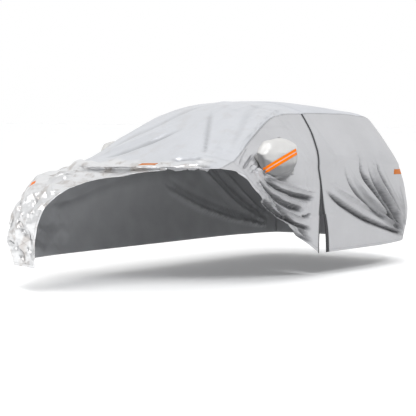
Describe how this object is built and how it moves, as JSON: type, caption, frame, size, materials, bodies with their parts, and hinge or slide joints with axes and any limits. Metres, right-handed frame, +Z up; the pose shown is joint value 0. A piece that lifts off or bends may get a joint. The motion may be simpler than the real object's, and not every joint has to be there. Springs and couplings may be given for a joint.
{
  "type": "car cover",
  "caption": "Fitted silver cloth car cover with mirror pockets and a zipped side, drawn back from the front left quarter.",
  "frame": {"origin": "underside of the top panel over the roof's highest stretch, where the cover rests on a car", "axes": "+Z up, +Y towards the car's rear, +X towards the car's left side; the ground lies at Z -1.420"},
  "size_m": [1.9341, 3.9474, 1.2406],
  "materials": {
    "silver_cloth": "satin silver coating",
    "silver_cloth_side": "satin silver coating",
    "silver_cloth_pocket": "bright silver coating",
    "dark_tape": "matt woven tape",
    "orange_strip": "reflective sheet"
  },
  "bodies": {
    "root": {"top_panel": "silver_cloth", "side_right": "silver_cloth_side", "side_left_front": "silver_cloth_side", "side_left_rear": "silver_cloth_side", "mirror_pocket_left": "silver_cloth_pocket", "mirror_pocket_right": "silver_cloth_pocket", "zip_tape_front": "dark_tape", "zip_tape_rear": "dark_tape", "strip_mirror_left": "orange_strip", "strip_mirror_right": "orange_strip", "strip_bonnet": "orange_strip", "strip_front_right": "orange_strip", "strip_rear_left": "orange_strip"}
  },
  "joints": []
}
